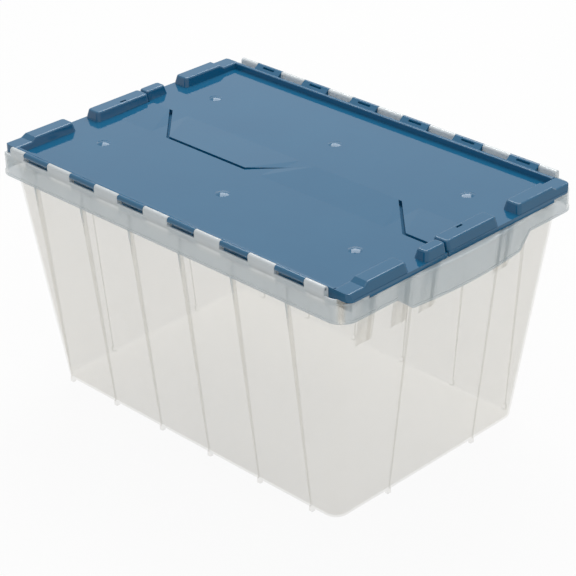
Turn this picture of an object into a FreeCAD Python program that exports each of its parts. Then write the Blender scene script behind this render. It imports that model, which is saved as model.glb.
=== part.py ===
import FreeCAD, Part
import math
import os

# A translucent storage tub with an attached lid in two hinged halves.
# Millimetres. The origin is the centre of the base on the floor, X runs along the
# long side, the front is -Y and Z is up.

V = FreeCAD.Vector

# Tub walls
base_length = 455.0
base_width = 301.0
top_length = 524.6
top_width = 358.6
rim_z = 290.0
wall = 2.0
floor_thick = 2.5
base_corner = 18.0
top_corner = 18.0
base_edge_round = 6.0

# Rim flange and the skirt that hangs from it
end_rim_width = 10.2
side_rim_width = 6.7
rim_corner = 20.0
rim_edge_round = 2.0
flange_thick = 2.2
skirt_thick = 1.8
skirt_depth = 19.0
bead_proud = 1.0
bead_height = 2.6

# Bowed grip in the middle of each end skirt
grip_depth = 35.0
grip_half = 86.0
grip_slope = 20.0
grip_step = 3.0
grip_bow = 9.0

# Hinge rows along the long sides
hinge_inset = 3.0
hinge_lift = 14.5
hinge_pitch = 80.3
hinge_to_lid_edge = 7.5
knuckle_radius = 3.3
knuckle_foot_drop = 6.0
hinge_wall_rise = 8.0
hinge_wall_overrun = 14.0
lid_knuckle_width = 41.0
knuckle_gap = 0.6
end_knuckle_width = 23.7
tab_thick = 5.0
tab_slot_length = 19.0
tab_slot_width = 2.2
tab_slot_wall = 1.2
rod_diameter = 3.0
rod_clearance = 0.05
rod_end_wall = 2.5
rod_end_gap = 0.5
rod_chamfer = 0.4

# Fins and feet on the tub walls
fin_pitch = 80.3
fin_offset = -9.0
fin_thick = 2.0
fin_foot_proud = 2.0
end_fin_y = 70.0
end_fin_proud = 3.5
foot_width = 5.0
foot_height = 6.0
foot_proud = 3.2

# Nesting lugs under the end skirts: one near a corner, one beside the grip, two behind it
lug_corner_inset = 37.3
lug_beside_grip = 3.0
lugs_behind_grip = (-46.0, 74.0)
lug_width = 18.0
lug_proud = 8.0
lug_drop = 64.0
lug_slant = 9.0
lug_wall = 1.8

# Loose rails inside the long walls, and the saddles that hold their ends
rail_inset = 18.8
rail_thick = 2.0
rail_height = 14.0
rail_drop = 4.0
rail_end_gap = 1.5
rail_edge_round = 0.5
saddle_width = 16.0
saddle_reach = 12.0
saddle_floor = 8.0
saddle_side_gap = 0.2

# Lid
lid_overhang = 0.5
lid_wall = 2.2
lid_corner = 8.0
panel_thick = 2.5
panel_lift = 3.5
lid_rest_gap = 0.4
lip_rise = 7.2
lip_width = 4.5
lip_round = 1.2
corner_ramp = 6.0
ridge_rise = 11.0
ridge_width = 25.0
ridge_round = 2.4
ridge_corner = 4.5
ridge_draft = 3.0
long_ridge_reach = 55.0
short_ridge_reach = 62.0
outer_ridge_start = 86.5
low_corner_length = 29.0
short_ridge_setback = 5.0

# Seam between the lid halves, a wave of straight runs and 45 degree slopes
seam_wave = 28.3
seam_end_run = 36.0
seam_gap = 2.0
seam_slope_setback = 1.6
seam_shelf_gap = 0.7
seam_shelf_thick = 1.5
tongue_rise = 1.5
seam_rib_depth = 5.0
seam_rib_thick = 2.4
seam_rib_setback = 4.0

# Small domes on the lid and the tie slot in the ridge
dome_x = 199.0
dome_y = 89.0
dome_radius = 8.0
dome_height = 1.8
tie_slot_setback = 17.3
tie_slot_y = 8.6
tie_slot_length = 9.0
tie_slot_width = 3.0

# Heights closer than this count as the same when edges are picked
same_height = 0.01


# Half the outer size of the tub at a height
def half_x(z):
    return (base_length + (top_length - base_length) * z / rim_z) / 2


def half_y(z):
    return (base_width + (top_width - base_width) * z / rim_z) / 2


# Sizes that follow from those above
rim_length = top_length + 2 * end_rim_width
rim_width = top_width + 2 * side_rim_width
hinge_y = rim_width / 2 - hinge_inset
hinge_z = rim_z + hinge_lift
skirt_z = rim_z - skirt_depth
grip_z = rim_z - grip_depth
end_x = rim_length / 2 + lid_overhang
ridge_x = end_x - ridge_width
panel_z = rim_z + panel_lift
panel_top = panel_z + panel_thick
lip_top = panel_top + lip_rise
ridge_top = panel_top + ridge_rise
lid_bottom = rim_z + lid_rest_gap
lid_edge_y = hinge_y - hinge_to_lid_edge
outer_ridge_end = lid_edge_y - low_corner_length
seam_outer_turn = ridge_x - seam_end_run
seam_rib_reach = ridge_x - seam_rib_setback
seam_rib_low = panel_z - seam_rib_depth
rod_radius = rod_diameter / 2
bore_radius = rod_radius + rod_clearance
row_half = ridge_x - knuckle_gap
rail_top = rim_z - rail_drop
rail_low = rail_top - rail_height
rail_half = half_x(rail_low) - wall - rail_end_gap
rail_y = half_y(rail_low) - wall - rail_inset


def block(x0, x1, y0, y1, z0, z1):
    return Part.makeBox(x1 - x0, y1 - y0, z1 - z0, V(x0, y0, z0))


def rod_along_x(x0, x1, y, z, radius):
    return Part.makeCylinder(radius, x1 - x0, V(x0, y, z), V(1, 0, 0))


def prism(points, push):
    return Part.Face(Part.makePolygon(points + points[:1])).extrude(push)


def slab_across_x(profile, x0, x1):
    return prism([V(x0, y, z) for y, z in profile], V(x1 - x0, 0, 0))


def slab_across_y(profile, y0, y1):
    return prism([V(x, y0, z) for x, z in profile], V(0, y1 - y0, 0))


def turned(shape):
    copy = shape.copy()
    copy.rotate(V(0, 0, 0), V(0, 0, 1), 180)
    return copy


def both_ends(shapes):
    return shapes + [turned(shape) for shape in shapes]


def corner_arc(cx, cy, radius, start, z):
    angles = [math.radians(start + turn) for turn in (0, 45, 90)]
    points = [V(cx + radius * math.cos(a), cy + radius * math.sin(a), z) for a in angles]
    return Part.Arc(*points).toShape()


def line(a, b):
    return Part.LineSegment(a, b).toShape()


def rounded_rectangle(hx, hy, radius, z):
    cx = hx - radius
    cy = hy - radius
    return Part.Wire([
        line(V(-cx, -hy, z), V(cx, -hy, z)),
        corner_arc(cx, -cy, radius, -90, z),
        line(V(hx, -cy, z), V(hx, cy, z)),
        corner_arc(cx, cy, radius, 0, z),
        line(V(cx, hy, z), V(-cx, hy, z)),
        corner_arc(-cx, cy, radius, 90, z),
        line(V(-hx, cy, z), V(-hx, -cy, z)),
        corner_arc(-cx, -cy, radius, 180, z),
    ])


def inner_outline(corner, z):
    return rounded_rectangle(half_x(z) - wall, half_y(z) - wall, corner - wall, z)


# The rim outline seen from above, drawn inwards by the given inset
def rim_outline(inset, z):
    hx = rim_length / 2 - inset
    hy = rim_width / 2 - inset
    radius = rim_corner - inset
    cx = hx - radius
    cy = hy - radius
    step_y = grip_half + grip_slope
    grip_ends = [V(hx + grip_step, y, z) for y in (-grip_half, grip_half)]
    half = [
        line(V(-cx, -hy, z), V(cx, -hy, z)),
        corner_arc(cx, -cy, radius, -90, z),
        line(V(hx, -cy, z), V(hx, -step_y, z)),
        line(V(hx, -step_y, z), grip_ends[0]),
        Part.Arc(grip_ends[0], V(hx + grip_bow, 0, z), grip_ends[1]).toShape(),
        line(grip_ends[1], V(hx, step_y, z)),
        line(V(hx, step_y, z), V(hx, cy, z)),
        corner_arc(cx, cy, radius, 0, z),
    ]
    return Part.Wire(both_ends(half))


def plate(wire, height):
    return Part.Face(wire).extrude(V(0, 0, height))


def edges_at(shape, z):
    found = []
    for edge in shape.Edges:
        box = edge.BoundBox
        if abs(box.ZMin - z) < same_height and abs(box.ZMax - z) < same_height:
            found.append(edge)
    return found


# The lower edge of the skirt seen from the end, raised by the given lift
def skirt_edge(lift):
    reach = rim_width
    slope = grip_half + grip_slope
    return [
        (-reach, skirt_z + lift),
        (-slope, skirt_z + lift),
        (-grip_half, grip_z + lift),
        (grip_half, grip_z + lift),
        (slope, skirt_z + lift),
        (reach, skirt_z + lift),
    ]


# Front row: as many lid knuckles as fit between the two end knuckles of the tub
def lid_knuckle_centres():
    end_room = end_knuckle_width + knuckle_gap + lid_knuckle_width / 2
    steps = int(2 * (row_half - end_room) / hinge_pitch)
    return [-row_half + end_room + hinge_pitch * i for i in range(steps + 1)]


# Front row of the tub: the spans along X left free by the lid knuckles
def tub_knuckle_spans():
    reach = lid_knuckle_width / 2 + knuckle_gap
    centres = lid_knuckle_centres()
    starts = [-row_half] + [c + reach for c in centres]
    ends = [c - reach for c in centres] + [row_half]
    return list(zip(starts, ends))


# Where a line from a point leans on the hinge barrel, as seen from the end of the row
def touch_on_barrel(y, z, side):
    reach = math.hypot(y + hinge_y, z - hinge_z)
    angle = math.atan2(z - hinge_z, y + hinge_y) + side * math.acos(knuckle_radius / reach)
    return (-hinge_y + knuckle_radius * math.cos(angle), hinge_z + knuckle_radius * math.sin(angle))


def tub_knuckle(x0, x1):
    foot_z = rim_z - knuckle_foot_drop
    outer = rim_width / 2
    profile = [
        (-outer, foot_z),
        touch_on_barrel(-outer, foot_z, -1),
        (-hinge_y, hinge_z),
        (-hinge_y + knuckle_radius, hinge_z),
        (-hinge_y + knuckle_radius, rim_z - flange_thick),
        (-outer + skirt_thick, foot_z),
    ]
    web = slab_across_x(profile, x0, x1)
    return web.fuse(rod_along_x(x0, x1, -hinge_y, hinge_z, knuckle_radius))


# The skirt stands up past the rim along the hinge row, and a little at the two corners beside it
def hinge_wall():
    low = rim_z - knuckle_foot_drop
    top = rim_z + hinge_wall_rise
    corner_top = panel_z - lid_rest_gap
    half = row_half + hinge_wall_overrun
    ring = plate(rim_outline(0, low), top - low).cut(plate(rim_outline(skirt_thick, low), top - low))
    row = block(-half, half, -rim_width, -hinge_y + knuckle_radius, low, top)
    corners = block(-rim_length, rim_length, -rim_width, -outer_ridge_end - lid_rest_gap, low, corner_top)
    return ring.common(row.fuse(corners))


def long_fin(x):
    root_low = half_y(0) - wall / 2
    root_high = half_y(rim_z) - wall / 2
    outer = rim_width / 2 - skirt_thick / 2
    profile = [
        (-root_low, 0),
        (-half_y(0) - fin_foot_proud, 0),
        (-outer, skirt_z),
        (-outer, rim_z - flange_thick / 2),
        (-root_high, rim_z - flange_thick / 2),
    ]
    fin = slab_across_x(profile, x - fin_thick / 2, x + fin_thick / 2)
    foot_x0 = x - foot_width / 2
    foot = block(foot_x0, foot_x0 + foot_width, -half_y(0) - foot_proud, -root_low, 0, foot_height)
    return fin.fuse(foot)


def end_fin(y):
    root_low = half_x(0) - wall / 2
    root_high = half_x(rim_z) - wall / 2
    profile = [
        (root_low, 0),
        (half_x(0) + fin_foot_proud, 0),
        (half_x(rim_z) + end_fin_proud, rim_z - flange_thick / 2),
        (root_high, rim_z - flange_thick / 2),
    ]
    fin = slab_across_y(profile, y - fin_thick / 2, y + fin_thick / 2)
    foot_y0 = y - foot_width / 2
    foot = block(root_low, half_x(0) + foot_proud, foot_y0, foot_y0 + foot_width, 0, foot_height)
    return fin.fuse(foot)


# A lug is a narrow channel, open below, that hangs from the flange against the end wall
def nesting_lug(y):
    low = rim_z - lug_drop
    high = rim_z - flange_thick / 2
    y0 = y - lug_width / 2
    y1 = y + lug_width / 2
    outer = [
        (half_x(low) - wall / 2, low),
        (half_x(low) + lug_proud, low + lug_slant),
        (half_x(high) + lug_proud, high),
        (half_x(high) - wall / 2, high),
    ]
    inner = [
        (half_x(low) - wall / 2, low - lug_wall),
        (half_x(low) + lug_proud - lug_wall, low + lug_slant - lug_wall),
        (half_x(high) + lug_proud - lug_wall, high - lug_wall),
        (half_x(high) - wall / 2, high - lug_wall),
    ]
    hollow = slab_across_y(inner, y0 + lug_wall, y1 - lug_wall)
    return slab_across_y(outer, y0, y1).cut(hollow)


# The rail lies in a slotted boss on the inside of each end wall
def rail_saddle(y):
    x0 = half_x(rail_low) - wall - saddle_reach
    low = rail_low - saddle_floor
    boss = block(x0, rim_length, y - saddle_width / 2, y + saddle_width / 2, low, rail_top)
    slot_half = rail_thick / 2 + saddle_side_gap
    slot = block(x0 - wall, rail_half + rail_end_gap, y - slot_half, y + slot_half, rail_low, rim_z)
    return boss.cut(slot)


def make_tub():
    outer = Part.makeLoft([
        rounded_rectangle(half_x(0), half_y(0), base_corner, 0),
        rounded_rectangle(half_x(rim_z), half_y(rim_z), top_corner, rim_z),
    ], True, True)
    outer = outer.makeFillet(base_edge_round, edges_at(outer, 0))
    over = rim_z + wall
    inside = Part.makeLoft([
        inner_outline(base_corner, floor_thick),
        inner_outline(top_corner, over),
    ], True, True)
    inside = inside.makeFillet(base_edge_round - wall, edges_at(inside, floor_thick))

    hang = rim_z - grip_z
    rim = plate(rim_outline(0, grip_z), hang)
    rim = rim.makeFillet(rim_edge_round, edges_at(rim, rim_z))
    below = skirt_edge(0) + [(rim_width, grip_z - hang), (-rim_width, grip_z - hang)]
    skirt = rim.cut(plate(rim_outline(skirt_thick, grip_z), hang - flange_thick))
    skirt = skirt.cut(slab_across_x(below, -rim_length, rim_length))
    bead = plate(rim_outline(-bead_proud, grip_z), hang)
    bead = bead.cut(plate(rim_outline(skirt_thick, grip_z), hang))
    band = skirt_edge(0) + skirt_edge(bead_height)[::-1]
    bead = bead.common(slab_across_x(band, -rim_length, rim_length))

    fin_steps = int((base_length - 2 * base_corner - foot_width) / fin_pitch)
    fin_places = [fin_offset + fin_pitch * (i - fin_steps / 2) for i in range(fin_steps + 1)]
    long_fins = both_ends([long_fin(x) for x in fin_places])
    end_fins = both_ends([end_fin(y) for y in (-end_fin_y, end_fin_y)])
    corner_lug = lug_corner_inset - half_y(rim_z)
    lug_places = (corner_lug, -grip_half - lug_beside_grip) + lugs_behind_grip
    lugs = both_ends([nesting_lug(y) for y in lug_places])
    hinge_row = [tub_knuckle(x0, x1) for x0, x1 in tub_knuckle_spans()]
    knuckles = both_ends(hinge_row + [hinge_wall()])
    bores = both_ends([rod_along_x(-row_half + rod_end_wall, rim_length, -hinge_y, hinge_z, bore_radius)])
    saddles = both_ends([rail_saddle(y) for y in (-rail_y, rail_y)])

    tub = outer.fuse([skirt, bead] + long_fins + end_fins + lugs + knuckles)
    tub = tub.cut([inside] + bores)
    tub = tub.fuse([saddle.common(outer) for saddle in saddles])
    return tub.removeSplitter()


# The seam as seen by the front half, drawn back by half the gap and more on the outer slopes
def seam_points():
    slope = 2 * seam_wave
    left = -seam_outer_turn - seam_slope_setback
    right = seam_outer_turn - seam_slope_setback
    turns = [
        (-end_x, seam_wave),
        (left, seam_wave),
        (left + slope, -seam_wave),
        (-seam_wave, -seam_wave),
        (seam_wave, seam_wave),
        (right - slope, seam_wave),
        (right, -seam_wave),
        (end_x, -seam_wave),
    ]
    return [(x, y - seam_gap / 2) for x, y in turns]


# The part of a seam edge that has a rib, from one place along X to another
def seam_run(edge, x0, y0, x1, y1):
    return [(x0, y0)] + [(x, y) for x, y in edge if x0 < x < x1] + [(x1, y1)]


def seam_rib(seam):
    run = seam_run(seam, -seam_rib_reach, seam[0][1], seam_rib_reach, seam[-1][1])
    outline = run + [(x, y - seam_rib_thick) for x, y in run[::-1]]
    height = seam_rib_depth + panel_thick / 2
    return prism([V(x, y, seam_rib_low) for x, y in outline], V(0, 0, height))


# A shelf at the foot of the rib closes the gap from below along the left half of the seam
def seam_shelf(seam):
    half_gap = seam_gap / 2
    other = [(-x, -y) for x, y in seam[::-1]]
    near = seam_run(seam, -seam_rib_reach, seam[0][1], 0, -half_gap)
    far = seam_run(other, -seam_rib_reach, other[0][1], 0, half_gap)
    root = [(x, y - seam_rib_thick / 2) for x, y in near]
    outline = root + [(x, y - seam_shelf_gap) for x, y in far[::-1]]
    return prism([V(x, y, seam_rib_low) for x, y in outline], V(0, 0, seam_shelf_thick))


# The tongues of the seam rise gently to their edges: up from the root, and in from the slopes
def seam_tongues(seam, outline):
    root_z = panel_top - panel_thick / 2
    top_z = panel_top + tongue_rise
    tip_y = seam_wave - seam_gap / 2
    root_y = -seam_wave - seam_gap / 2
    rise = slab_across_x([
        (root_y, root_z), (root_y, panel_top), (tip_y, top_z), (tip_y, root_z),
    ], -ridge_x, ridge_x)
    corners = [x for x, y in seam]
    end_side = slab_across_y([
        (-ridge_x - lid_wall, root_z), (-ridge_x - lid_wall, top_z),
        (corners[1], top_z), (corners[2], root_z),
    ], root_y, tip_y)
    middle = slab_across_y([
        (corners[3], root_z), (corners[4], top_z), (corners[5], top_z), (corners[6], root_z),
    ], root_y, tip_y)
    within = prism([V(x, y, root_z) for x, y in outline], V(0, 0, top_z - root_z))
    return [rise.common(end_side).common(within), rise.common(middle).common(within)]


# A raised block with sloping sides, upright only at its end toward the seam
def drafted_block(x0, x1, y0, y1):
    outlines = []
    for inset, z in ((0, panel_z), (ridge_draft, ridge_top)):
        hx = (x1 - x0) / 2 - inset
        hy = (y1 - y0 - inset) / 2
        outline = rounded_rectangle(hx, hy, ridge_corner, z)
        outline.translate(V((x0 + x1) / 2, (y0 + y1 + inset) / 2, 0))
        outlines.append(outline)
    return Part.makeLoft(outlines, True, True)


# A ridge that ends at the seam, and the hollow under it
def seam_ridge(x0, x1, y0, y1):
    outer = drafted_block(x0, x1, y0, y1)
    outer = outer.makeFillet(ridge_round, edges_at(outer, ridge_top))
    side = ridge_draft + lid_wall
    low = lid_bottom - lid_wall
    return outer, block(x0 + side, x1 - side, y0 + side, y1 - lid_wall, low, ridge_top - lid_wall)


# The outer ridge runs down a ramp to a low corner, level with the lip
def corner_ridge(x0, x1):
    past_edge = -lid_edge_y - low_corner_length
    whole = turned(drafted_block(-x1, -x0, outer_ridge_start, -past_edge))
    above = [
        (past_edge, lip_top),
        (-outer_ridge_end - corner_ramp, lip_top),
        (-outer_ridge_end, ridge_top),
        (-outer_ridge_end, ridge_top + ridge_rise),
        (past_edge, ridge_top + ridge_rise),
    ]
    outer = whole.cut(slab_across_x(above, x0, x1))
    rounded = []
    for edge in outer.Edges:
        box = edge.BoundBox
        on_ramp = box.YLength < same_height and box.YMin < -outer_ridge_end + same_height
        if box.ZMin > panel_top and box.YMax > past_edge + ridge_corner and not on_ramp:
            rounded.append(edge)
    outer = outer.makeFillet(ridge_round, rounded)
    side = ridge_draft + lid_wall
    low = lid_bottom - lid_wall
    hollow = slab_across_x([
        (-lid_edge_y + lid_wall, low),
        (-lid_edge_y + lid_wall, lip_top - lid_wall),
        (-outer_ridge_end - corner_ramp, lip_top - lid_wall),
        (-outer_ridge_end + lid_wall, ridge_top - lid_wall),
        (-outer_ridge_start - side, ridge_top - lid_wall),
        (-outer_ridge_start - side, low),
    ], x0 + side, x1 - side)
    return outer, hollow


def hinge_lip():
    half = ridge_x + lid_wall
    lip = block(-half, half, -lid_edge_y, -lid_edge_y + lip_width, lid_bottom, lip_top)
    return lip.makeFillet(lip_round, [e for e in edges_at(lip, lip_top) if e.BoundBox.XLength > half])


def lid_tab(centre):
    x0 = centre - lid_knuckle_width / 2
    x1 = centre + lid_knuckle_width / 2
    root_y = -lid_edge_y + lip_width / 2
    arm = slab_across_x([
        (root_y, lip_top - lip_round),
        touch_on_barrel(root_y, lip_top - lip_round, 1),
        (-hinge_y, hinge_z),
        touch_on_barrel(root_y, lip_top - tab_thick, -1),
        (root_y, lip_top - tab_thick),
    ], x0, x1)
    slot_y = -hinge_y + bore_radius + tab_slot_wall
    slot_x0 = centre - tab_slot_length / 2
    slot = block(slot_x0, slot_x0 + tab_slot_length, slot_y, slot_y + tab_slot_width, lid_bottom, ridge_top)
    tab = arm.fuse(rod_along_x(x0, x1, -hinge_y, hinge_z, knuckle_radius))
    return tab, slot


def lid_dome(x):
    ball = (dome_radius ** 2 + dome_height ** 2) / (2 * dome_height)
    root_z = panel_top - panel_thick / 2
    dome = Part.makeSphere(ball, V(x, -dome_y, panel_top + dome_height - ball))
    return dome.common(block(x - ball, x + ball, -dome_y - ball, -dome_y + ball, root_z, ridge_top))


def make_lid():
    seam = seam_points()
    outline = seam + [(end_x, -lid_edge_y), (-end_x, -lid_edge_y)]
    panel = prism([V(x, y, panel_z) for x, y in outline], V(0, 0, panel_thick))

    left_end = seam[0][1]
    right_end = seam[-1][1]
    raised = [
        corner_ridge(-end_x, -ridge_x),
        corner_ridge(ridge_x, end_x),
        seam_ridge(-end_x, -ridge_x, -long_ridge_reach, left_end),
        seam_ridge(ridge_x + short_ridge_setback, end_x, -short_ridge_reach, right_end),
    ]
    end_walls = [
        block(-end_x, -end_x + lid_wall, -outer_ridge_end, left_end, lid_bottom, panel_top),
        block(end_x - lid_wall, end_x, -outer_ridge_end, right_end, lid_bottom, panel_top),
    ]
    domes = [lid_dome(x) for x in (-dome_x, 0, dome_x)]
    tabs = [lid_tab(c) for c in lid_knuckle_centres()]

    lid = panel.fuse([outer for outer, hollow in raised] + end_walls + [hinge_lip()])
    lid = lid.cut([hollow for outer, hollow in raised])
    trim = rounded_rectangle(end_x, lid_edge_y, lid_corner, lid_bottom)
    lid = lid.common(plate(trim, ridge_top - lid_bottom))
    seam_parts = [seam_rib(seam), seam_shelf(seam)] + seam_tongues(seam, outline)
    lid = lid.fuse(seam_parts + domes + [tab for tab, slot in tabs])
    bore = rod_along_x(-end_x, end_x, -hinge_y, hinge_z, bore_radius)
    tie_slot_x = tie_slot_setback - end_x
    tie_slot = block(
        tie_slot_x - tie_slot_width / 2, tie_slot_x + tie_slot_width / 2,
        -tie_slot_y - tie_slot_length / 2, -tie_slot_y + tie_slot_length / 2,
        panel_top, ridge_top + lid_wall,
    )
    lid = lid.cut([bore, tie_slot] + [slot for tab, slot in tabs])
    return lid.removeSplitter()


def make_hinge_rod():
    start = -row_half + rod_end_wall + rod_end_gap
    end = row_half - rod_end_gap
    rod = rod_along_x(start, end, -hinge_y, hinge_z, rod_radius)
    return rod.makeChamfer(rod_chamfer, [e for e in rod.Edges if e.BoundBox.XLength < rod_radius])


def make_rail():
    y0 = -rail_y - rail_thick / 2
    rail = block(-rail_half, rail_half, y0, y0 + rail_thick, rail_low, rail_top)
    return rail.makeFillet(rail_edge_round, [e for e in rail.Edges if e.BoundBox.XLength > rail_half])


def save(name, shape):
    solids = shape.Solids
    state = "valid" if shape.isValid() else "NOT VALID"
    print(name, state, "solids", len(solids), "volume", round(shape.Volume))
    single = solids[0] if len(solids) == 1 else shape
    single.exportStep(os.path.join("parts", name + ".step"))


os.makedirs("parts", exist_ok=True)
front_lid = make_lid()
front_rod = make_hinge_rod()
front_rail = make_rail()
save("tub", make_tub())
save("front_lid", front_lid)
save("rear_lid", turned(front_lid))
save("front_hinge_rod", front_rod)
save("rear_hinge_rod", turned(front_rod))
save("front_rail", front_rail)
save("rear_rail", turned(front_rail))
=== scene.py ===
import bpy
import math
from mathutils import Matrix, Vector

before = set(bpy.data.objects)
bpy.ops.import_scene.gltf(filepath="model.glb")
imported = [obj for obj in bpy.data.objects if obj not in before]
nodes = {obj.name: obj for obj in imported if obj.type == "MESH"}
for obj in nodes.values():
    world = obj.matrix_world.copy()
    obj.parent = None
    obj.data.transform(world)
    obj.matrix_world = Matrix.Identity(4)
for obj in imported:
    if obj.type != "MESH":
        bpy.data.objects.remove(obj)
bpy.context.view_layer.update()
scene = bpy.context.scene
scene.view_settings.view_transform = "Standard"
print("frame loaded:", ", ".join(sorted(nodes)))


# sRGB hex to the linear colour that shaders take
def hexToLinear(text):
    channels = [int(text[i:i + 2], 16) / 255 for i in (1, 3, 5)]
    linear = [c / 12.92 if c <= 0.04045 else ((c + 0.055) / 1.055) ** 2.4 for c in channels]
    return (*linear, 1.0)


# One node with its settings. An input given as a socket is linked, anything else is set
def addNode(tree, kind, inputs=None, **settings):
    node = tree.nodes.new(kind)
    for name, value in settings.items():
        setattr(node, name, value)
    for name, value in (inputs or {}).items():
        socket = node.inputs[name]
        if isinstance(value, bpy.types.NodeSocket):
            tree.links.new(value, socket)
        else:
            socket.default_value = value
    return node


def newMaterial(name):
    material = bpy.data.materials.new(name)
    material.use_nodes = True
    material.node_tree.nodes.clear()
    return material, material.node_tree


# Noise with features of one size in millimetres
def noiseOf(tree, place, featureMm, detail, fineShare=0.5):
    return addNode(tree, "ShaderNodeTexNoise", {
        "Vector": place, "Scale": 1000.0 / featureMm,  # cycles per metre
        "Detail": detail, "Roughness": fineShare}).outputs["Fac"]


def mixColours(tree, share, first, second):
    return addNode(tree, "ShaderNodeMix", {0: share, 6: first, 7: second}, data_type="RGBA").outputs[2]


noiseMiddle = (0.3, 0.7)  # most of a noise lies between these


# Roughness that follows a noise between the two limits of a look
def roughnessAlong(tree, noise, look):
    return addNode(tree, "ShaderNodeMapRange", {
        "Value": noise, "From Min": noiseMiddle[0], "From Max": noiseMiddle[1],
        "To Min": look["roughnessLow"], "To Max": look["roughnessHigh"]}).outputs[0]


# The skin of a moulding: its colour drifts in soft clouds, the gloss drifts with it, and a shallow grain
# breaks up the reflections
def mouldedSkin(tree, place, look):
    cloud = noiseOf(tree, place, look["cloudMm"], look["cloudDetail"], look["cloudFineShare"])
    colour = mixColours(tree, cloud, hexToLinear(look["colour"]), hexToLinear(look["cloudColour"]))
    roughness = roughnessAlong(tree, cloud, look)
    grain = noiseOf(tree, place, look["grainMm"], look["grainDetail"])
    bump = addNode(tree, "ShaderNodeBump", {
        "Height": grain, "Distance": look["grainDepthMm"] / 1000, "Strength": 1.0}).outputs[0]
    return colour, roughness, bump


# Blue polypropylene, injection moulded in a polished tool: a soft gloss that mirrors the ridges, faintly
# clouded. The underside is left matt, so that the seam between the halves stays dark
lidLook = {
    "colour": "#17648D",
    "cloudColour": "#1C6A92",
    "cloudMm": 70.0,
    "cloudDetail": 3.0,
    "cloudFineShare": 0.55,
    "grainMm": 9.0,  # slow waves that the cooling plastic leaves in the flat panel
    "grainDetail": 2.0,
    "grainDepthMm": 0.003,
    "roughnessLow": 0.06,
    "roughnessHigh": 0.10,
    "undersideMm": 292.5,
    "undersideRoughness": 0.75,
    "ior": 1.49,
}


def mouldedBluePolypropylene(look):
    material, tree = newMaterial("mouldedBluePolypropylene")
    place = addNode(tree, "ShaderNodeTexCoord").outputs["Object"]
    colour, roughness, bump = mouldedSkin(tree, place, look)
    height = addNode(tree, "ShaderNodeSeparateXYZ", {"Vector": place}).outputs["Z"]
    below = addNode(tree, "ShaderNodeMath", {
        0: height, 1: look["undersideMm"] / 1000}, operation="LESS_THAN").outputs[0]
    matt = addNode(tree, "ShaderNodeMix", {0: below, 2: roughness, 3: look["undersideRoughness"]}).outputs[0]
    shader = addNode(tree, "ShaderNodeBsdfPrincipled", {
        "Base Color": colour, "Roughness": matt, "Normal": bump, "IOR": look["ior"]})
    addNode(tree, "ShaderNodeOutputMaterial", {"Surface": shader.outputs[0]})
    return material


# Natural polypropylene, injection moulded 2 mm thick: milky and glossy, it lets the far side show through.
# The skirt is frosted and carries a painted reflection of the blue lid as a blue-grey tint; the solid hinge
# knuckles above it turn white
tubLook = {
    "colour": "#F3EBD6",
    "cloudColour": "#EAE2CC",
    # frosted pale skirt, tinted blue-grey as painted reflection of the blue lid above it
    "skirtFrostAndPaintedLidBlue": "#D3E0E6",
    "knuckleColour": "#EFF6F9",
    "cloudMm": 60.0,
    "cloudDetail": 4.0,
    "cloudFineShare": 0.6,
    "grainMm": 1.5,  # the mould's matt grain is finer than this, drawn coarser so that it shows
    "grainDetail": 2.0,
    "grainDepthMm": 0.006,
    "roughnessLow": 0.14,
    "roughnessHigh": 0.24,
    "wallAlpha": 0.14,
    "skirtAlpha": 0.48,
    "skirtXMm": 267.0,
    "skirtYMm": 182.0,
    "knuckleAlpha": 0.75,
    "knuckleFootMm": 295.0,
    "skirtFadeMm": 2.0,
    "knuckleFadeMm": 5.0,
    "gloss": 1.0,
    "ior": 1.49,
}


# How far a point is into the skirt and into the knuckles, from 0 to 1, by its distance from the middle
def tubZones(tree, place, look):
    away = addNode(tree, "ShaderNodeVectorMath", {0: place}, operation="ABSOLUTE").outputs[0]
    along = addNode(tree, "ShaderNodeSeparateXYZ", {"Vector": away}).outputs
    zones = {}
    for axis, start, fade in (("X", look["skirtXMm"], look["skirtFadeMm"]),
                              ("Y", look["skirtYMm"], look["skirtFadeMm"]),
                              ("Z", look["knuckleFootMm"], look["knuckleFadeMm"])):
        zones[axis] = addNode(tree, "ShaderNodeMapRange", {
            "Value": along[axis],
            "From Min": (start - fade) / 1000, "From Max": (start + fade) / 1000}).outputs[0]
    skirt = addNode(tree, "ShaderNodeMath", {0: zones["X"], 1: zones["Y"]}, operation="MAXIMUM").outputs[0]
    return skirt, zones["Z"]


def frostedPolypropylene(look):
    material, tree = newMaterial("frostedPolypropylene")
    place = addNode(tree, "ShaderNodeTexCoord").outputs["Object"]
    colour, roughness, bump = mouldedSkin(tree, place, look)
    skirt, knuckle = tubZones(tree, place, look)
    skirtAlpha = addNode(tree, "ShaderNodeMapRange", {
        "Value": skirt, "To Min": look["wallAlpha"], "To Max": look["skirtAlpha"]}).outputs[0]
    alpha = addNode(tree, "ShaderNodeMix", {0: knuckle, 2: skirtAlpha, 3: look["knuckleAlpha"]}).outputs[0]
    # the skirt zone takes its frosted tint with a painted reflection of the blue lid, the knuckles their own
    # white
    for zone, tint in ((skirt, look["skirtFrostAndPaintedLidBlue"]), (knuckle, look["knuckleColour"])):
        colour = mixColours(tree, zone, colour, hexToLinear(tint))
    shader = addNode(tree, "ShaderNodeBsdfPrincipled", {
        "Base Color": colour, "Roughness": roughness, "Normal": bump, "IOR": look["ior"],
        "Alpha": alpha, "Specular IOR Level": look["gloss"]})
    addNode(tree, "ShaderNodeOutputMaterial", {"Surface": shader.outputs[0]})
    return material


# Steel wire and strip, cold drawn and zinc plated: bright, with fine lines along its length
steelLook = {
    "colour": "#B9BAB8",
    "lineColour": "#8F9190",
    "lineMm": 0.6,
    "lineDetail": 3.0,
    "lineSqueeze": (0.01, 1.0, 1.0),  # a hundred times as long as wide
    "roughnessLow": 0.22,
    "roughnessHigh": 0.42,
}


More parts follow.
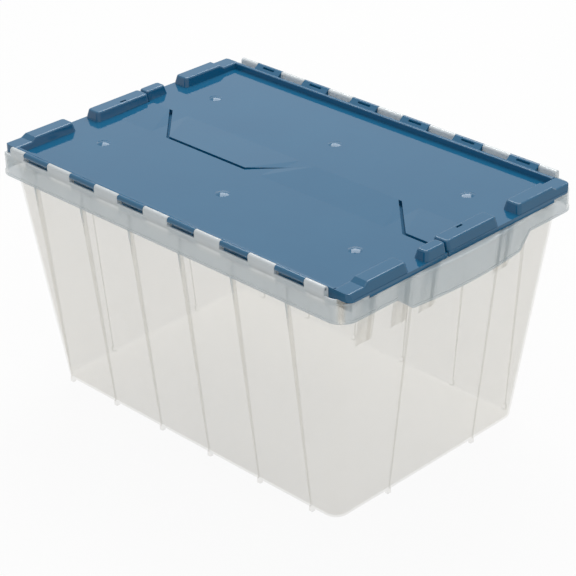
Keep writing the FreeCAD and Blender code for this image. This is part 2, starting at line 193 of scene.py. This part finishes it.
def drawnZincSteel(look):
    material, tree = newMaterial("drawnZincSteel")
    place = addNode(tree, "ShaderNodeTexCoord").outputs["Object"]
    drawn = addNode(tree, "ShaderNodeMapping", {"Vector": place, "Scale": look["lineSqueeze"]}).outputs[0]
    lines = noiseOf(tree, drawn, look["lineMm"], look["lineDetail"])
    colour = mixColours(tree, lines, hexToLinear(look["colour"]), hexToLinear(look["lineColour"]))
    shader = addNode(tree, "ShaderNodeBsdfPrincipled", {
        "Base Color": colour, "Roughness": roughnessAlong(tree, lines, look), "Metallic": 1.0})
    addNode(tree, "ShaderNodeOutputMaterial", {"Surface": shader.outputs[0]})
    return material


bluePlastic = mouldedBluePolypropylene(lidLook)
clearPlastic = frostedPolypropylene(tubLook)
zincSteel = drawnZincSteel(steelLook)
finishes = {
    "tub": clearPlastic, "front_lid": bluePlastic, "rear_lid": bluePlastic,
    "front_hinge_rod": zincSteel, "rear_hinge_rod": zincSteel,
    "front_rail": zincSteel, "rear_rail": zincSteel,
}
for nodeName, material in finishes.items():
    for materialSlot in nodes[nodeName].material_slots:
        materialSlot.material = material
print("finishes assigned")


# The photograph's view, in metres and degrees
cameraSettings = {
    "position": (1.48612, -1.45610, 1.26098),
    "azimuth": 45.42,
    "elevation": 28.24,
    "roll": -1.29,
    "lensMm": 127.84,
    "sensorMm": 36.0,
    "clipEnd": 60.0,
}


def placeCamera(settings):
    azimuth = math.radians(settings["azimuth"])
    elevation = math.radians(settings["elevation"])
    roll = math.radians(settings["roll"])
    back = Vector((math.sin(azimuth) * math.cos(elevation),
                   -math.cos(azimuth) * math.cos(elevation), math.sin(elevation)))
    level = Vector((math.cos(azimuth), math.sin(azimuth), 0.0))
    upright = back.cross(level)
    right = math.cos(roll) * level + math.sin(roll) * upright
    up = math.cos(roll) * upright - math.sin(roll) * level
    data = bpy.data.cameras.new("photoCamera")
    data.lens = settings["lensMm"]
    data.sensor_width = settings["sensorMm"]
    data.clip_end = settings["clipEnd"]
    camera = bpy.data.objects.new("photoCamera", data)
    scene.collection.objects.link(camera)
    turn = Matrix((right, up, back)).transposed()
    camera.matrix_world = Matrix.Translation(settings["position"]) @ turn.to_4x4()
    scene.camera = camera


placeCamera(cameraSettings)


# A white sweep under plain soft light: a wide overhead softbox, a smaller one high behind for the sheen on
# the rounded edges, and an even white world
studio = {
    "white": (1.0, 1.0, 1.0, 1.0),
    "floorColour": "#F4F4F3",
    "floorSize": 40.0,
    "floorDrop": 0.0004,
    "floorGlow": 0.93,  # share of plain white that the floor shows, the rest keeps the shadow
    "worldStrength": 0.40,
    "lamps": (
        {"name": "overheadSoftbox", "position": (0.8, -0.6, 2.4), "aim": (0.0, 0.0, 0.2),
         "size": 2.0, "watts": 11.0},
        {"name": "highBackSoftbox", "position": (-0.95, 1.2, 2.35), "aim": (0.0, 0.0, 0.3),
         "size": 1.6, "watts": 37.0},
    ),
}


# One where a ray from the eye, a mirror or clear plastic meets the surface, zero for the light itself
def seenRay(tree):
    ray = addNode(tree, "ShaderNodeLightPath")
    seen = addNode(tree, "ShaderNodeMath", {
        0: ray.outputs["Is Camera Ray"], 1: ray.outputs["Is Glossy Ray"]}, operation="MAXIMUM")
    return addNode(tree, "ShaderNodeMath", {
        0: seen.outputs[0], 1: ray.outputs["Is Transmission Ray"]}, operation="MAXIMUM").outputs[0]


def paintedSweep(settings):
    material, tree = newMaterial("paintedSweep")
    matt = addNode(tree, "ShaderNodeBsdfDiffuse", {"Color": hexToLinear(settings["floorColour"])})
    glow = addNode(tree, "ShaderNodeEmission", {"Color": settings["white"], "Strength": 1.0})
    share = addNode(tree, "ShaderNodeMath", {
        0: seenRay(tree), 1: settings["floorGlow"]}, operation="MULTIPLY")
    sweep = addNode(tree, "ShaderNodeMixShader", {
        0: share.outputs[0], 1: matt.outputs[0], 2: glow.outputs[0]})
    addNode(tree, "ShaderNodeOutputMaterial", {"Surface": sweep.outputs[0]})
    return material


def layFloor(settings):
    half = settings["floorSize"] / 2
    corners = [(-half, -half, 0), (half, -half, 0), (half, half, 0), (-half, half, 0)]
    mesh = bpy.data.meshes.new("studioFloor")
    mesh.from_pydata(corners, [], [(0, 1, 2, 3)])
    mesh.materials.append(paintedSweep(settings))
    floor = bpy.data.objects.new("studioFloor", mesh)
    scene.collection.objects.link(floor)
    floor.location.z = -settings["floorDrop"]


def lightWorld(settings):
    world = bpy.data.worlds.new("studioWorld")
    scene.world = world
    world.use_nodes = True
    tree = world.node_tree
    tree.nodes.clear()
    strength = addNode(tree, "ShaderNodeMapRange", {
        "Value": seenRay(tree), "To Min": settings["worldStrength"], "To Max": 1.0})
    light = addNode(tree, "ShaderNodeBackground", {
        "Color": settings["white"], "Strength": strength.outputs[0]})
    addNode(tree, "ShaderNodeOutputWorld", {"Surface": light.outputs[0]})


def hangLamp(lamp):
    data = bpy.data.lights.new(lamp["name"], "AREA")
    data.size = lamp["size"]
    data.energy = lamp["watts"]
    light = bpy.data.objects.new(lamp["name"], data)
    scene.collection.objects.link(light)
    light.location = lamp["position"]
    toward = Vector(lamp["aim"]) - Vector(lamp["position"])
    light.rotation_euler = toward.to_track_quat("-Z", "Y").to_euler()


layFloor(studio)
lightWorld(studio)
for studioLamp in studio["lamps"]:
    hangLamp(studioLamp)
print("studio and camera placed")
